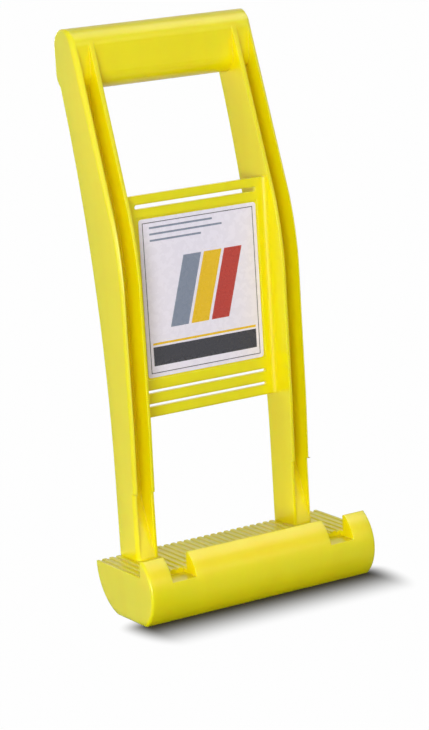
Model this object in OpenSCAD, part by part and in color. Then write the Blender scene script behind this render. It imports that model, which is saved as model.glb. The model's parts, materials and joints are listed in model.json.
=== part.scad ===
// Panel carrier: a one-piece moulded hand carrier for sheet material, with a label stuck on its plate.
// Front is -Y, where the sheet stands. Sizes are in millimetres.

/* [Overall] */
// Height from the floor to the top of the handle
height = 359; // [330:1:390]
// Width of the base
base_w = 166; // [156:1:200]
// Width over the two rails, which is also the handle's length
rail_span = 131; // [118:1:138]

/* [Handle] */
// Handle from front to back
handle_d = 22; // [19:0.5:24]
// Handle from top to bottom
handle_h = 38.5; // [34:0.5:46]
// How far the handle's back stands behind the feet of the rails
handle_reach = 39; // [37:0.5:43]
// Wall of the handle's open-backed shell
handle_wall = 3; // [2.4:0.1:4]
// Number of cross ribs in the back of the handle, between the rails
handle_ribs = 5; // [3:1:7]

/* [Rails] */
// Width of one rail, over both of its flanges
rail_w = 14; // [12:0.5:18]
// Depth of a rail at its foot, front to back
rail_depth = 25; // [22:0.2:28]
// Thickness of a flange behind the web
flange_t = 2.4; // [2:0.1:3]
// Thickness of a flange at its front edge, below the bend
flange_tip = 1.9; // [1.4:0.1:2.6]
// Thickness of a flange at its front edge, where it meets the handle
flange_top = 3.4; // [2.8:0.1:4]
// How much wider a rail is at the front of the handle, on its inner side
rail_spread = 1.5; // [0.5:0.1:2]
// Thickness of the web between the two flanges
web_t = 2.4; // [2:0.1:3]
// Depth of the front channel, from the flanges' front edges to the web
channel_d = 15.6; // [12:0.2:18]
// Backward lean of the upper rails, in degrees
lean = 18.5; // [17:0.5:21]
// Radius of the bend in the rails' front edge
front_bend_r = 180; // [100:5:220]
// Radius of the long curve in the rails' back edge
back_bend_r = 865; // [800:5:950]
// Height where the curve of the back edge begins
back_bend_z = 80; // [70:1:84]
// Height where the web leaves its upright run and slopes forward to the foot
ramp_top_z = 68; // [60:1:80]
// Height where the sloping web meets the front of the foot
ramp_foot_z = 31; // [30:0.5:36]
// Height where the rails' front edges begin to draw back towards the foot
taper_top_z = 115; // [100:1:130]
// How far they have drawn back at the step above the foot
foot_taper = 1.2; // [0.6:0.1:2]
// Depth of the step, where the foot's front lies further back
foot_relief = 1.6; // [0.8:0.1:2.4]
// Height of the step
foot_relief_z = 73; // [70:1:80]
// Radius of the outer edge of the rails and of the handle's ends
corner_r = 3.6; // [2.5:0.1:4.5]

/* [Plate] */
// Lower edge of the plate, above the floor
plate_low_z = 116.4; // [110:0.2:119]
// Upper edge of the plate, above the floor
plate_top_z = 256.4; // [255:0.2:262]
// Thickness of the plate
plate_t = 2.6; // [2:0.1:3]
// Set-back of the plate's face from the rails' front
plate_set_back = 15.4; // [13:0.2:17]
// Length of the slots across the plate
slot_len = 88.5; // [80:0.5:90]
// Height of the middle of the upper slot
top_slot_z = 249.3; // [248:0.1:250.5]
// Width of the upper slot
top_slot_h = 2.8; // [2:0.1:3.2]
// Height of the middle of the lowest slot
low_slot_z = 123.8; // [122.6:0.1:125]
// Spacing of the two lower slots
low_slot_pitch = 8.6; // [7:0.1:9]
// Width of a lower slot
low_slot_h = 2.1; // [1.6:0.1:2.6]
// Radius of the blend between the plate and the rails
plate_blend_r = 3; // [2:0.2:4]

/* [Label] */
// Room between the label and each rail
label_side = 8.7; // [8:0.1:12]
// Room between the label and the middle of the slot above it
label_over = 8.1; // [6:0.1:10]
// Room between the label and the middle of the slot below it
label_under = 8.8; // [6:0.1:10]
// Sideways shift of the label, as it was stuck on
label_shift = 0.8; // [-1:0.1:1]
// Thickness of the label
label_t = 0.25; // [0.15:0.05:0.4]
// Corner radius of the label
label_corner_r = 2; // [1:0.5:4]
// Depth of the pocket that the label lies in
pocket_d = 0.6; // [0.4:0.1:1]
// Room in the pocket all round the label
pocket_room = 1.2; // [1.1:0.1:2]

/* [Base] */
// Base from front to back
base_d = 67; // [65:0.5:72]
// Radius of the base's rounded front
barrel_r = 25.6; // [24:0.2:27]
// Height of the centre of the rounded front
barrel_z = 19.8; // [18:0.2:21]
// Radius of the base's rounded back
back_r = 31.1; // [30.6:0.1:34]
// Gap between the rails' front and the lip, where the sheet stands
groove_w = 29; // [27:0.2:30]
// Height of the shelf that the sheet stands on
shelf_z = 30; // [29:0.1:30.4]
// Wall of the base's open-backed shell
base_wall = 3; // [2.4:0.1:4]
// Radius of the edge between the base's ends and its rounded front
end_round = 1.5; // [1:0.25:4]
// Radius of the lip's crest
crest_r = 1.5; // [1:0.1:2]
// Room at each side of a rail for the notch in the lip
notch_margin = 1.7; // [1:0.1:3]
// Drop of the notch's floor below the shelf
notch_drop = 3.2; // [2.4:0.1:4]
// How far a notch's floor runs on behind the lip
notch_run = 3.5; // [2:0.1:5]
// Number of stiffening ribs in the base, between the rails
base_ribs = 3; // [1:1:5]
// Thickness of a stiffening rib in the base and in the handle
rib_t = 2.2; // [1.8:0.1:3]

/* [Shelf ribs] */
// Spacing of the ribs on the shelf
tread_pitch = 5; // [4:0.1:6]
// Depth of the grooves between the ribs
tread_d = 0.9; // [0.5:0.1:1.3]
// Width of a groove at the top
tread_gap_w = 2.6; // [2:0.1:3.2]
// Width of a groove at its floor
tread_floor_w = 1.4; // [0.8:0.1:1.8]
// Least plain shelf at each end of the base
tread_margin = 1.5; // [1.2:0.1:3]

/* [Hidden] */
$fa = 1;
$fs = 0.5;

// Overrun of every cut, and how far one wall runs into the next
overrun = 1;
// How far a rounding cuts short of touching its faces, so that it crosses them
bite = 0.02;
// How far out a turned rounding lies, so that it crosses the straight ones beside it
corner_ease = 0.15;
// A length past every edge of the carrier
beyond = 2 * height;

// Handle: centres of the two rounds of its upright oval section
handle_r = handle_d / 2;
handle_y = handle_reach - handle_r;
handle_high_z = height - handle_r;
handle_low_z = height - handle_h + handle_r;

// Rails: places across the carrier
rail_x = (rail_span - rail_w) / 2;
outer_flange_x = (rail_span - flange_t) / 2;
inner_flange_x = rail_span / 2 - rail_w + flange_t / 2;
inside_x = rail_span / 2 - rail_w;

// Rails: the front edge runs upright, bends and then touches the round of the handle
lean_foot_y = handle_y - handle_r / cos(lean);
bend_z = handle_high_z - (lean_foot_y + rail_depth) / tan(lean);
bend_run = front_bend_r * tan(lean / 2);
bend_low_z = bend_z - bend_run;
lean_y = -rail_depth + bend_run * sin(lean);
lean_z = bend_z + bend_run * cos(lean);
lean_end_y = handle_y - handle_r * cos(lean);
lean_end_z = handle_high_z + handle_r * sin(lean);
lean_len = norm([lean_end_y - lean_y, lean_end_z - lean_z]);

// Rails: front face of the foot and of the web's upright run
step_y = foot_taper - rail_depth;
foot_y = step_y + foot_relief;
web_y = channel_d - rail_depth;
web_top_z = handle_low_z - handle_r + handle_wall;

// Rails: the front channel narrows towards the handle, so that its core draws out forward
handle_front_y = handle_y - handle_r;
core_front_y = -rail_depth - overrun;
core_end_y = handle_front_y + handle_wall;
tip_slope = (flange_top - flange_tip) / (handle_front_y + rail_depth);
spread_slope = rail_spread / (handle_front_y + rail_depth);

// Rails: thickness of a flange at its front edge and place of the inner side, at a place from front to back
function tip_at(y) = flange_tip + (y + rail_depth) * tip_slope;
function inside_at(y) = inside_x - (y + rail_depth) * spread_slope;

// Rails: the front edge below the upright run draws back towards the step
taper_h = taper_top_z - foot_relief_z;
taper_tilt = atan(foot_taper / taper_h);

// Plate
plate_y = plate_set_back - rail_depth;
low_slots_z = [low_slot_z, low_slot_z + low_slot_pitch];

// Label: it fills the plate between the rails and the slots, and lies in a pocket
label_w = 2 * (inside_x - label_side);
label_low_z = low_slot_z + low_slot_pitch + label_under;
label_h = top_slot_z - label_over - label_low_z;
label_z = label_low_z + label_h / 2;
pocket_y = plate_y + pocket_d;
pocket_w = label_w + 2 * pocket_room;
pocket_h = label_h + 2 * pocket_room;

// Base: centres of its two rounds, the lip's rear face and the lip's crest
front_round_y = barrel_r - base_d;
back_round_y = -back_r;
back_foot_y = sqrt(pow(back_r, 2) - pow(shelf_z, 2)) - back_r;
lip_y = -rail_depth - groove_w;
crest_y = lip_y - crest_r;
crest_lever = barrel_r - crest_r;
crest_z = barrel_z + sqrt(pow(crest_lever, 2) - pow(crest_y - front_round_y, 2));
crest_touch_y = front_round_y + (crest_y - front_round_y) * barrel_r / crest_lever;
crest_touch_z = barrel_z + (crest_z - barrel_z) * barrel_r / crest_lever;
notch_w = rail_w + 2 * notch_margin;
notch_z = shelf_z - notch_drop;
under_shelf_z = shelf_z - base_wall;
under_notch_z = notch_z - base_wall;
notch_end_y = lip_y + notch_run;
sole_z = shelf_z - base_wall / 2;

// Shelf ribs: grooves on each side of the middle one
tread_steps = floor((base_w / 2 - tread_margin - tread_gap_w / 2) / tread_pitch);

// The carrier's box is centred on the origin from front to back
mid_y = (base_d - handle_reach) / 2;

// Extrudes a side outline, drawn as Y and Z, across the carrier about the place x
module across(len, x = 0) {
    translate([x, 0, 0]) rotate([90, 0, 90]) linear_extrude(height = len, center = true) children();
}

// Extrudes a front outline, drawn as X and Z, forward from the place y
module forward(len, y = 0) {
    translate([0, y, 0]) rotate([90, 0, 0]) linear_extrude(height = len) children();
}

module both_sides() {
    children();
    mirror([1, 0, 0]) children();
}

// Upright oval section of the handle, drawn in by a wall
module handle_section(wall = 0) {
    r = handle_r - wall;
    translate([handle_y, handle_high_z]) circle(r);
    translate([handle_y, handle_low_z]) circle(r);
    translate([handle_y - r, handle_low_z]) square([2 * r, handle_high_z - handle_low_z]);
}

// Everything behind the rails: an upright run, a long curve, then the back half of the handle
module behind_rails() {
    square([beyond, back_bend_z]);
    translate([back_bend_r, back_bend_z]) circle(back_bend_r);
    translate([handle_y, handle_low_z]) square(beyond);
}

// Everything behind the rails' front edge, with the edge moved back
module behind_front(set_back = 0) {
    translate([set_back, 0]) {
        translate([-rail_depth, sole_z]) square([beyond, bend_low_z - sole_z]);
        translate([front_bend_r - rail_depth, bend_low_z]) circle(front_bend_r);
        translate([lean_y, lean_z]) rotate(-lean) square([beyond, lean_len]);
    }
}

// Side outline of a rail
module rail_side() {
    difference() {
        behind_front();
        behind_rails();
    }
}

// Side outline of the front core: before the web, which slopes forward to the foot, and before the handle
module front_core_side() {
    difference() {
        translate([core_front_y, ramp_foot_z]) square([beyond, web_top_z - ramp_foot_z]);
        behind_front(channel_d);
        polygon([
            [foot_y, ramp_foot_z],
            [web_y, ramp_top_z],
            [beyond, ramp_top_z],
            [beyond, ramp_foot_z]
        ]);
    }
    translate([core_front_y, web_top_z]) square([beyond, height]);
}

// Plan of a rail, drawn as X and Y
module rail_plan() {
    back_y = handle_reach + overrun;
    polygon([
        [inside_at(core_front_y), core_front_y],
        [rail_span / 2, core_front_y],
        [rail_span / 2, back_y],
        [inside_at(back_y), back_y]
    ]);
}

// Plan of the front core, drawn as X and Y
module front_core_plan() {
    polygon([
        [inside_at(core_front_y) + tip_at(core_front_y), core_front_y],
        [rail_span / 2 - tip_at(core_front_y), core_front_y],
        [rail_span / 2 - tip_at(core_end_y), core_end_y],
        [inside_at(core_end_y) + tip_at(core_end_y), core_end_y]
    ]);
}

// Side outline of the rear core: behind the web and inside the handle
module rear_core_side() {
    intersection() {
        behind_front(channel_d + web_t);
        translate([web_y, ramp_top_z]) square([beyond, web_top_z - ramp_top_z]);
    }
    polygon([
        [foot_y + web_t, sole_z - overrun],
        [foot_y + web_t, ramp_foot_z],
        [web_y + web_t, ramp_top_z],
        [beyond, ramp_top_z],
        [beyond, sole_z - overrun]
    ]);
    translate([core_end_y, web_top_z]) square([beyond, height]);
}

// Side outline of what is cut from the rails' front: they draw back a little, then step back to the foot
module foot_trim() {
    polygon([
        [-rail_depth, taper_top_z],
        [step_y, foot_relief_z],
        [foot_y, foot_relief_z],
        [foot_y, shelf_z],
        [-rail_depth - overrun, shelf_z],
        [-rail_depth - overrun, taper_top_z]
    ]);
}

module rail() {
    difference() {
        union() {
            intersection() {
                across(beyond) rail_side();
                linear_extrude(height = beyond) rail_plan();
            }
            for (x = [inner_flange_x, outer_flange_x]) across(flange_t, x) handle_section();
        }
        intersection() {
            across(beyond) front_core_side();
            linear_extrude(height = beyond) front_core_plan();
        }
        across(rail_w - 2 * flange_t, rail_x) rear_core_side();
        across(beyond) foot_trim();
    }
}

module handle() {
    across(rail_span - flange_t) difference() {
        handle_section();
        handle_section(handle_wall);
        translate([handle_y, handle_low_z - handle_r + handle_wall])
            square([beyond, handle_h - 2 * handle_wall]);
    }
    gap = 2 * inside_x / (handle_ribs + 1);
    for (i = [1 : handle_ribs]) across(rib_t, i * gap - inside_x) handle_section(bite);
}

// What a rounding takes off an edge, drawn with the edge at the origin and the solid behind it and to its left
module edge_cut() {
    c = corner_r - bite;
    difference() {
        translate([-c, -overrun]) square(c + overrun);
        translate([-c, c]) circle(corner_r);
    }
}

// How far a straight rounding runs on beside a turn of radius r, to come well outside it
function run_on(r) = 2 * sqrt(2 * r * corner_ease);

// Rounding along a straight outer edge, tilted back, with what it runs on at its lower and upper ends
module edge_run(y, z, len, tilt = 0, below = 0, above = 0) {
    translate([rail_span / 2, y, z]) rotate([-tilt, 0, 0]) translate([0, 0, -below])
        linear_extrude(height = below + len + above) edge_cut();
}

// Rounding along an outer edge that turns about the place y, z
module edge_turn(y, z, r, start, turn) {
    translate([0, y, z]) rotate([90, 0, 90]) rotate(start) rotate_extrude(angle = turn)
        translate([r + corner_ease, rail_span / 2]) rotate(90) edge_cut();
}

// Roundings of one rail's outer edge: up the front, then running out over the handle's top towards its back
module outer_edge() {
    run_out = corner_r / 2;
    top_r = handle_r + run_out;
    bend_on = run_on(front_bend_r);
    edge_run(foot_y, shelf_z, foot_relief_z - shelf_z);
    edge_run(step_y, foot_relief_z, norm([foot_taper, taper_h]), -taper_tilt, above = overrun);
    edge_run(-rail_depth, taper_top_z, bend_low_z - taper_top_z, below = overrun, above = bend_on);
    edge_turn(front_bend_r - rail_depth, bend_low_z, front_bend_r, 180 - lean, lean);
    edge_run(lean_y, lean_z, lean_len, lean, bend_on, run_on(top_r));
    edge_turn(handle_y + run_out * cos(lean), handle_high_z - run_out * sin(lean), top_r, 0, 180 - lean);
}

// Slot with round ends, as a front outline
module slot(z, h) {
    run = slot_len - h;
    translate([-run / 2, z - h / 2]) square([run, h]);
    for (side = [-1, 1]) translate([side * run / 2, z]) circle(h / 2);
}

// Blend in the corner between the plate's face and a rail
module plate_blend() {
    c = plate_blend_r - bite;
    translate([inside_at(plate_y) - c, plate_y, plate_low_z]) difference() {
        translate([0, -c, 0]) cube([c + flange_t / 2, c + plate_t / 2, plate_top_z - plate_low_z]);
        translate([0, -c, -overrun])
            cylinder(r = plate_blend_r, h = plate_top_z - plate_low_z + 2 * overrun);
    }
}

module plate() {
    difference() {
        union() {
            translate([-inside_x - flange_t / 2, plate_y, plate_low_z])
                cube([2 * inside_x + flange_t, plate_t, plate_top_z - plate_low_z]);
            both_sides() plate_blend();
        }
        forward(plate_t + 2 * overrun, plate_y + plate_t + overrun) {
            slot(top_slot_z, top_slot_h);
            for (z = low_slots_z) slot(z, low_slot_h);
        }
        translate([label_shift - pocket_w / 2, plate_y - overrun, label_z - pocket_h / 2])
            cube([pocket_w, pocket_d + overrun, pocket_h]);
    }
}

// Side outline of the base behind its rounded front: flat bottom and rounded back
module base_back_side() {
    translate([front_round_y, 0]) square([back_foot_y - front_round_y, shelf_z]);
    intersection() {
        translate([back_round_y, shelf_z]) circle(back_r);
        translate([back_round_y, 0]) square([back_r, shelf_z]);
    }
}

// Side outline that trims the rounded front: flat bottom, shelf and lip with a rounded crest
module base_front_trim() {
    translate([-beyond, 0]) square([beyond + front_round_y, shelf_z]);
    polygon([
        [lip_y, 0],
        [lip_y, crest_z],
        [crest_touch_y, crest_touch_z],
        [crest_touch_y - crest_r, crest_touch_z + crest_r],
        [-beyond, crest_touch_z + crest_r],
        [-beyond, 0]
    ]);
    translate([crest_y, crest_z]) circle(crest_r);
}

// Round bar across the base with rounded end edges
module barrel() {
    half = base_w / 2;
    translate([0, front_round_y, barrel_z]) rotate([0, 90, 0]) rotate_extrude() {
        translate([0, -half]) square([barrel_r - end_round, base_w]);
        translate([0, end_round - half]) square([barrel_r, base_w - 2 * end_round]);
        for (side = [-1, 1])
            translate([barrel_r - end_round, side * (half - end_round)]) circle(end_round);
    }
}

// Hollow of the base, open at the back and lower under the notches
module base_hollow_side() {
    intersection() {
        union() {
            translate([front_round_y, barrel_z]) circle(barrel_r - base_wall);
            translate([front_round_y, 0]) square([beyond, shelf_z]);
        }
        union() {
            translate([-beyond, base_wall]) square([2 * beyond, under_notch_z - base_wall]);
            translate([notch_end_y + base_wall, base_wall]) square([beyond, under_shelf_z - base_wall]);
        }
    }
    translate([back_foot_y, -overrun]) square([beyond, under_shelf_z + overrun]);
}

// Side outline of a stiffening rib: its edges lie inside the walls, its back is the base's rounded back
module base_rib_side() {
    into = base_wall / 2;
    intersection() {
        union() {
            translate([front_round_y, barrel_z]) circle(barrel_r - into);
            base_back_side();
        }
        union() {
            translate([-beyond, into]) square([beyond + back_foot_y, under_notch_z]);
            translate([notch_end_y + into, into]) square([back_foot_y - notch_end_y, under_shelf_z]);
            translate([back_foot_y, 0]) square([beyond, under_shelf_z + into]);
        }
    }
}

// Grooves along the shelf, front to back, which leave the ribs between them
module tread_cut() {
    top_w = tread_gap_w + overrun * (tread_gap_w - tread_floor_w) / tread_d;
    for (i = [-tread_steps : tread_steps])
        translate([i * tread_pitch, 0, 0]) forward(overrun - lip_y, overrun) polygon([
            [-top_w / 2, shelf_z + overrun],
            [-tread_floor_w / 2, shelf_z - tread_d],
            [tread_floor_w / 2, shelf_z - tread_d],
            [top_w / 2, shelf_z + overrun]
        ]);
}

module base() {
    difference() {
        union() {
            intersection() {
                barrel();
                across(base_w + 2 * overrun) base_front_trim();
            }
            across(base_w) base_back_side();
        }
        across(base_w - 2 * base_wall) base_hollow_side();
        both_sides() translate([rail_x - notch_w / 2, -base_d - overrun, notch_z])
            cube([notch_w, base_d + overrun + notch_end_y, height]);
        tread_cut();
    }
    gap = 2 * inside_x / (base_ribs + 1);
    for (i = [1 : base_ribs]) across(rib_t, i * gap - inside_x) base_rib_side();
    both_sides() for (x = [inner_flange_x, outer_flange_x]) across(flange_t, x) base_rib_side();
}

module carrier_body() {
    color("gold") translate([0, mid_y, 0]) {
        base();
        plate();
        difference() {
            union() {
                both_sides() rail();
                handle();
            }
            both_sides() outer_edge();
        }
    }
}

module label() {
    half_w = label_w / 2 - label_corner_r;
    half_h = label_h / 2 - label_corner_r;
    color("lavender") translate([label_shift, mid_y, label_z]) forward(label_t, pocket_y) {
        square([label_w, 2 * half_h], center = true);
        square([2 * half_w, label_h], center = true);
        for (x = [-half_w, half_w], z = [-half_h, half_h]) translate([x, z]) circle(label_corner_r);
    }
}

carrier_body();
label();
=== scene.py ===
import json
import math
import bpy
from mathutils import Matrix, Vector

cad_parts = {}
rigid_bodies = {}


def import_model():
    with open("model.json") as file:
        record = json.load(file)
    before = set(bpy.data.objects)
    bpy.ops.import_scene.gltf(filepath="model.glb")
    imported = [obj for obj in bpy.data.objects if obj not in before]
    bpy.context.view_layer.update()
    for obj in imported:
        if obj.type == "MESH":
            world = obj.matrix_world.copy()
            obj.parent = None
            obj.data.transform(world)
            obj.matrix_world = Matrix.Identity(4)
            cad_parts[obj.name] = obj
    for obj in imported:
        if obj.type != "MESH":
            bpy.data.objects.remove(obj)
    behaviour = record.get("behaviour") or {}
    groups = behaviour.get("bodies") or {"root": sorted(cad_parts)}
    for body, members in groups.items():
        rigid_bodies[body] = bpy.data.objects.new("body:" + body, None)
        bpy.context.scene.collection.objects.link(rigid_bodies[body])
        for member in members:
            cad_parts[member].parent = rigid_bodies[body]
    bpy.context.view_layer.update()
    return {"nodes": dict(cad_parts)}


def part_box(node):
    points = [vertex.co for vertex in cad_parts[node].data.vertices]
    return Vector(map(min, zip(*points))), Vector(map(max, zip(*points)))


for leftOver in list(bpy.data.objects):  # start-up cube, lamp and camera
    bpy.data.objects.remove(leftOver)
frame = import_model()
scene = bpy.context.scene
body = frame["nodes"]["carrier_body"]
label = frame["nodes"]["label"]
print("carrier loaded:", len(body.data.polygons), "faces in the moulding")


# small helpers for node trees
def startMaterial(name):
    made = bpy.data.materials.new(name)
    made.use_nodes = True
    return made, made.node_tree, made.node_tree.nodes["Principled BSDF"]


def fillSocket(tree, socket, value):
    if isinstance(value, bpy.types.NodeSocket):
        tree.links.new(value, socket)
    else:
        socket.default_value = value


def addNode(tree, kind, inputs=None, **settings):
    node = tree.nodes.new(kind)
    for key, value in settings.items():
        setattr(node, key, value)
    for key, value in (inputs or {}).items():
        fillSocket(tree, node.inputs[key], value)
    return node


def calc(tree, operation, first, second=0.0, clamp=False):
    node = addNode(tree, "ShaderNodeMath", {0: first, 1: second},
                   operation=operation, use_clamp=clamp)
    return node.outputs[0]


def spread(tree, value, span, low, high):
    node = addNode(tree, "ShaderNodeMapRange", {"Value": value, "From Min": span[0],
                                                "From Max": span[1], "To Min": low, "To Max": high})
    return node.outputs["Result"]


def blendColour(tree, share, under, over):
    node = tree.nodes.new("ShaderNodeMix")
    node.data_type = "RGBA"
    fillSocket(tree, node.inputs[0], share)
    fillSocket(tree, node.inputs[6], under)  # the colour inputs, A and B
    fillSocket(tree, node.inputs[7], over)
    return node.outputs[2]


def noise(tree, where, scale, detail, rough=0.5):
    node = addNode(tree, "ShaderNodeTexNoise", {"Vector": where, "Scale": scale, "Detail": detail,
                                                "Roughness": rough})
    return node.outputs["Fac"]


def bump(tree, height, distance, strength, **inputs):
    node = addNode(tree, "ShaderNodeBump", {"Height": height, "Distance": distance,
                                            "Strength": strength, **inputs})
    return node.outputs[0]


# the moulding
yellowPlastic = {
    "tone": (0.97, 0.79, 0.001, 1),
    "deepTone": (0.95, 0.74, 0.001, 1),      # where the melt ran thicker
    "edgeHighlightTone": (0.96, 0.90, 0.10, 1),       # painted highlight: the edges are coloured paler
    "gloss": 0.44,
    "glossIor": 1.5,
    "roughness": (0.28, 0.36),
    "roughSpan": (0.30, 0.75),               # streak values that give the two roughnesses
    "translucence": 0.85,
    "lightReach": (0.0080, 0.0062, 0.0004),  # how far red, green and blue travel in the wall
    "streakStretch": (70, 70, 9),            # flow lines run up the rails
    "streakScale": 1.0,
    "streakDetail": 4,
    "streakRough": 0.6,
    "streakSpan": (0.42, 0.72),
    "streakShare": 0.7,
    "cloudScale": 28,
    "cloudDetail": 2,
    "cloudSpan": (0.45, 0.80),
    "cloudShare": 0.4,
    "grainScale": 2400,
    "grainDetail": 2,
    "grainHeight": 0.00002,
    "waveScale": 45,
    "waveDetail": 1,
    "waveHeight": 0.0002,
    "bumpStrength": 0.5,
    "edgeReach": 0.0005,
    "edgeSamples": 6,
    "edgeSpan": (0.985, 0.86),               # how far the normal turns at an edge
    "edgeHighlightShare": 0.35,
}


def makeYellowPlastic(look):
    made, tree, shader = startMaterial("yellow_plastic")
    where = addNode(tree, "ShaderNodeTexCoord").outputs["Object"]
    along = addNode(tree, "ShaderNodeMapping", {"Vector": where, "Scale": look["streakStretch"]})
    streaks = noise(tree, along.outputs[0], look["streakScale"], look["streakDetail"],
                    look["streakRough"])
    clouds = noise(tree, where, look["cloudScale"], look["cloudDetail"])
    streakShare = spread(tree, streaks, look["streakSpan"], 0, look["streakShare"])
    cloudShare = spread(tree, clouds, look["cloudSpan"], 0, look["cloudShare"])
    tone = blendColour(tree, streakShare, look["tone"], look["deepTone"])
    tone = blendColour(tree, cloudShare, tone, look["deepTone"])

    # painted highlight along the edges: the mask compares a rounded normal with the true one
    rounded = addNode(tree, "ShaderNodeBevel", {"Radius": look["edgeReach"]},
                      samples=look["edgeSamples"]).outputs[0]
    plain = addNode(tree, "ShaderNodeNewGeometry").outputs["True Normal"]
    turned = addNode(tree, "ShaderNodeVectorMath", {0: rounded, 1: plain}, operation="DOT_PRODUCT")
    paintedEdgeHighlight = spread(tree, turned.outputs["Value"], look["edgeSpan"], 0, look["edgeHighlightShare"])
    tone = blendColour(tree, paintedEdgeHighlight, tone, look["edgeHighlightTone"])
    tree.links.new(tone, shader.inputs["Base Color"])

    roughness = spread(tree, streaks, look["roughSpan"], *look["roughness"])
    tree.links.new(roughness, shader.inputs["Roughness"])
    waves = bump(tree, noise(tree, where, look["waveScale"], look["waveDetail"]),
                 look["waveHeight"], look["bumpStrength"], Normal=rounded)
    grain = bump(tree, noise(tree, where, look["grainScale"], look["grainDetail"]),
                 look["grainHeight"], look["bumpStrength"], Normal=waves)
    tree.links.new(grain, shader.inputs["Normal"])
    shader.inputs["IOR"].default_value = look["glossIor"]
    shader.inputs["Specular IOR Level"].default_value = look["gloss"]
    shader.inputs["Subsurface Weight"].default_value = look["translucence"]
    shader.inputs["Subsurface Radius"].default_value = look["lightReach"]
    shader.inputs["Subsurface Scale"].default_value = 1.0  # the reach is in metres already
    return made


body.data.materials.clear()
body.data.materials.append(makeYellowPlastic(yellowPlastic))
print("moulding: yellow plastic")


# the label
labelFilm = {
    "ground": (0.90, 0.86, 0.97, 1),
    "dullGround": (0.84, 0.80, 0.92, 1),
    "charcoal": (0.035, 0.035, 0.045, 1),
    "amber": (0.86, 0.55, 0.01, 1),
    "brick": (0.50, 0.045, 0.03, 1),
    "slate": (0.23, 0.27, 0.36, 1),
    "cloudScale": 40,
    "cloudDetail": 2,
    "cloudSpan": (0.3, 0.8),
    "cloudShare": 0.12,
    "roughness": (0.22, 0.34),
    "wearScale": 220,
    "wearDetail": 3,
    "wearSpan": (0.35, 0.70),
    "rippleScale": 60,
    "rippleDetail": 1,
    "rippleHeight": 0.00012,
    "rippleStrength": 0.4,
    # places on the film, in mm from its lower left corner
    "frameInset": 2.4,
    "frameLine": 0.5,
    "footBand": (7, 19),
    "footLine": (1.2, 2.6),                  # above the band
    "rules": ((86, 0.52), (90, 0.70), (94, 0.62)),  # height, and end as a share of the width
    "ruleHalf": 0.6,
    "sheets": ((10, "slate"), (25, "amber"), (40, "brick")),
    "sheetSpan": (30, 74),
    "sheetLean": 0.28,
    "sheetWidth": 13,
}


def makeLabelFilm(look, low, high):
    made, tree, shader = startMaterial("label_film")
    where = addNode(tree, "ShaderNodeTexCoord").outputs["Object"]
    parts = addNode(tree, "ShaderNodeSeparateXYZ", {0: where})
    toMm = 1000
    across = calc(tree, "MULTIPLY", calc(tree, "SUBTRACT", parts.outputs["X"], low.x), toMm)
    up = calc(tree, "MULTIPLY", calc(tree, "SUBTRACT", parts.outputs["Z"], low.z), toMm)
    wide, tall = (high.x - low.x) * toMm, (high.z - low.z) * toMm

    def between(value, start, end):
        above = calc(tree, "GREATER_THAN", value, start)
        return calc(tree, "MULTIPLY", above, calc(tree, "LESS_THAN", value, end))

    def block(x0, x1, z0, z1):
        return calc(tree, "MULTIPLY", between(across, x0, x1), between(up, z0, z1))

    clouds = noise(tree, where, look["cloudScale"], look["cloudDetail"])
    cloudShare = spread(tree, clouds, look["cloudSpan"], 0, look["cloudShare"])
    tone = blendColour(tree, cloudShare, look["ground"], look["dullGround"])

    # frame line, as the difference of two blocks
    inset = look["frameInset"]
    inner = inset + look["frameLine"]
    frameLine = calc(tree, "SUBTRACT", block(inset, wide - inset, inset, tall - inset),
                     block(inner, wide - inner, inner, tall - inner), True)
    tone = blendColour(tree, frameLine, tone, look["charcoal"])

    # three leaning sheets side by side
    lean = calc(tree, "SUBTRACT", across, calc(tree, "MULTIPLY", up, look["sheetLean"]))
    upright = between(up, *look["sheetSpan"])
    for start, name in look["sheets"]:
        sheet = calc(tree, "MULTIPLY", between(lean, start, start + look["sheetWidth"]), upright)
        tone = blendColour(tree, sheet, tone, look[name])

    # dark band at the foot with a line above it, and short rules at the head
    left, right = inset * 2, wide - inset * 2
    foot, head = look["footBand"]
    tone = blendColour(tree, block(left, right, foot, head), tone, look["charcoal"])
    lineFoot, lineHead = look["footLine"]
    amberLine = block(left, right, head + lineFoot, head + lineHead)
    tone = blendColour(tree, amberLine, tone, look["amber"])
    for at, reach in look["rules"]:
        rule = block(inset * 3, wide * reach, at - look["ruleHalf"], at + look["ruleHalf"])
        tone = blendColour(tree, rule, tone, look["slate"])
    tree.links.new(tone, shader.inputs["Base Color"])

    wear = noise(tree, where, look["wearScale"], look["wearDetail"])
    roughness = spread(tree, wear, look["wearSpan"], *look["roughness"])
    tree.links.new(roughness, shader.inputs["Roughness"])
    ripple = bump(tree, noise(tree, where, look["rippleScale"], look["rippleDetail"]),
                  look["rippleHeight"], look["rippleStrength"])
    tree.links.new(ripple, shader.inputs["Normal"])
    return made


label.data.materials.clear()
label.data.materials.append(makeLabelFilm(labelFilm, *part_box("label")))
print("label: printed film")


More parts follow.
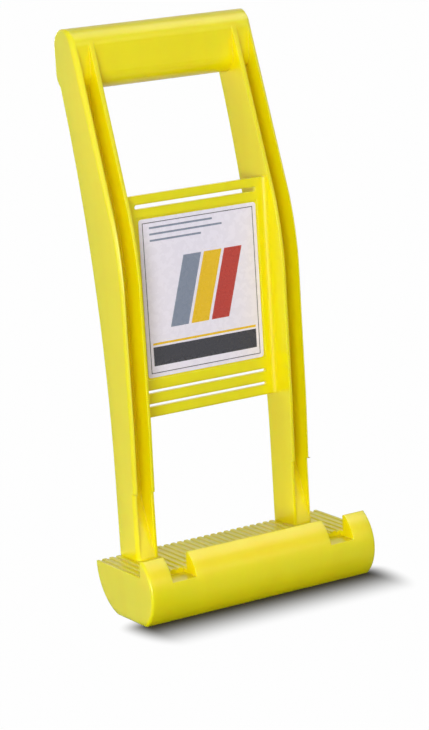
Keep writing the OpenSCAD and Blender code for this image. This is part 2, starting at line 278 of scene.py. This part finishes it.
# floor and light
studio = {
    # near-black floor; where the glow fades it shows as the painted contact shadow
    "floorTone": (0.035, 0.033, 0.032, 1),
    "floorRoughness": 0.9,
    "floorReach": 12.0,
    "white": (1, 1, 1, 1),
    "contactLine": -0.044,  # where the base's front meets the floor
    "contactHalf": 0.081,   # half the length of that line
    "contactFade": 0.050,   # how far before the line the floor is white again
    "contactHaste": 2.5,    # how much faster it whitens beside and behind the line
    "floorGlow": 0.99,      # share of plain white past the contact shadow
    "ambient": 0.20,
    "lamps": (
        # name, place, aim, direction of the long side, width, length, watts
        ("topBank", (0.9, -0.35, 1.55), (0, 0, 0.2), (0, 2, 1), 0.4, 1.1, 6.5),
        ("frontBank", (0, -1.9, 0.85), (0, 0, 0.2), (1, 0, 0), 0.2, 2.5, 7),
        ("leftKey", (-1.6, -1.65, 0.20), (0, 0, 0.15), (0, 0, 1), 1.0, 0.8, 46),
        ("leftSide", (-2.1, -0.2, 0.20), (0, 0, 0.15), (0, 0, 1), 1.0, 0.8, 13),
        ("backFill", (0, 2.3, 0.45), (0, 0, 0.2), (1, 0, 0), 0.8, 0.8, 20),
    ),
}


def seenDirectly(tree):
    path = addNode(tree, "ShaderNodeLightPath")
    seen = calc(tree, "ADD", path.outputs["Is Camera Ray"], path.outputs["Is Glossy Ray"])
    return calc(tree, "ADD", seen, path.outputs["Is Transmission Ray"], True)


# distance from the contact line, counted faster beside and behind it
def contactGap(tree, look):
    where = addNode(tree, "ShaderNodeTexCoord").outputs["Object"]
    place = addNode(tree, "ShaderNodeSeparateXYZ", {0: where})
    beside = calc(tree, "SUBTRACT", calc(tree, "ABSOLUTE", place.outputs["X"]),
                  look["contactHalf"])
    beside = calc(tree, "MULTIPLY", calc(tree, "MAXIMUM", beside, 0), look["contactHaste"])
    behind = calc(tree, "SUBTRACT", place.outputs["Y"], look["contactLine"])
    along = calc(tree, "MAXIMUM", calc(tree, "MULTIPLY", behind, -1),
                 calc(tree, "MULTIPLY", behind, look["contactHaste"]))
    both = addNode(tree, "ShaderNodeCombineXYZ", {"X": beside, "Y": along}).outputs[0]
    return addNode(tree, "ShaderNodeVectorMath", {0: both}, operation="LENGTH").outputs["Value"]


def makeFloor(look):
    reach = look["floorReach"]
    corners = [(-reach, -reach, 0), (reach, -reach, 0), (reach, reach, 0), (-reach, reach, 0)]
    mesh = bpy.data.meshes.new("studio_floor")
    mesh.from_pydata(corners, [], [(0, 1, 2, 3)])
    floor = bpy.data.objects.new("studio_floor", mesh)
    scene.collection.objects.link(floor)
    made, tree, shader = startMaterial("floor_white")
    shader.inputs["Base Color"].default_value = look["floorTone"]
    shader.inputs["Roughness"].default_value = look["floorRoughness"]
    glow = addNode(tree, "ShaderNodeEmission", {"Color": look["white"], "Strength": 1.0})

    # painted contact shadow: the white glow fades out towards the base's front edge and uncovers
    # the near-black floor, a dark band in front of the base
    paintedShadowFade = addNode(tree, "ShaderNodeMapRange",
                   {"Value": contactGap(tree, look), "From Max": look["contactFade"],
                    "To Max": look["floorGlow"]}, interpolation_type="SMOOTHSTEP")
    share = calc(tree, "MULTIPLY", seenDirectly(tree), paintedShadowFade.outputs["Result"])
    mixed = addNode(tree, "ShaderNodeMixShader",
                    {0: share, 1: shader.outputs[0], 2: glow.outputs[0]})
    tree.links.new(mixed.outputs[0], tree.nodes["Material Output"].inputs["Surface"])
    mesh.materials.append(made)


def makeWorld(look):
    world = bpy.data.worlds.new("studio_world")
    world.use_nodes = True
    tree = world.node_tree
    strength = spread(tree, seenDirectly(tree), (0, 1), look["ambient"], 1.0)
    sky = tree.nodes["Background"]
    sky.inputs["Color"].default_value = look["white"]
    tree.links.new(strength, sky.inputs["Strength"])
    scene.world = world


def makeLamps(look):
    for name, place, aim, along, width, length, watts in look["lamps"]:
        lamp = bpy.data.lights.new(name, "AREA")
        lamp.shape = "RECTANGLE"
        lamp.size, lamp.size_y = width, length
        lamp.energy = watts
        holder = bpy.data.objects.new(name, lamp)
        back = (Vector(place) - Vector(aim)).normalized()
        side = Vector(along).cross(back).normalized()
        turn = Matrix((side, back.cross(side), back)).transposed()
        holder.matrix_world = Matrix.Translation(place) @ turn.to_4x4()
        scene.collection.objects.link(holder)


makeFloor(studio)
makeWorld(studio)
makeLamps(studio)
print("studio: floor, world and", len(studio["lamps"]), "lamps")


# camera, at the photograph's angle in a 429 x 730 frame
viewpoint = {
    "place": (-0.8718, -1.44244, 0.51586),
    "azimuth": -31.25,
    "elevation": 12.46,
    "roll": 3.53,
    "focalPixels": 2746.25,
    "longSide": 730,
    "sensor": 36,
    "clip": (0.05, 50),
}


def makeCamera(look):
    lens = bpy.data.cameras.new("camera")
    lens.sensor_width = look["sensor"]
    lens.lens = look["focalPixels"] * look["sensor"] / look["longSide"]
    lens.clip_start, lens.clip_end = look["clip"]
    holder = bpy.data.objects.new("camera", lens)
    turn = Matrix.Rotation(math.radians(look["azimuth"]), 4, "Z")
    tilt = Matrix.Rotation(math.radians(90 - look["elevation"]), 4, "X")
    roll = Matrix.Rotation(math.radians(-look["roll"]), 4, "Z")
    holder.matrix_world = Matrix.Translation(look["place"]) @ turn @ tilt @ roll
    scene.collection.objects.link(holder)
    scene.camera = holder


makeCamera(viewpoint)
scene.view_settings.view_transform = "Standard"
print("camera set")
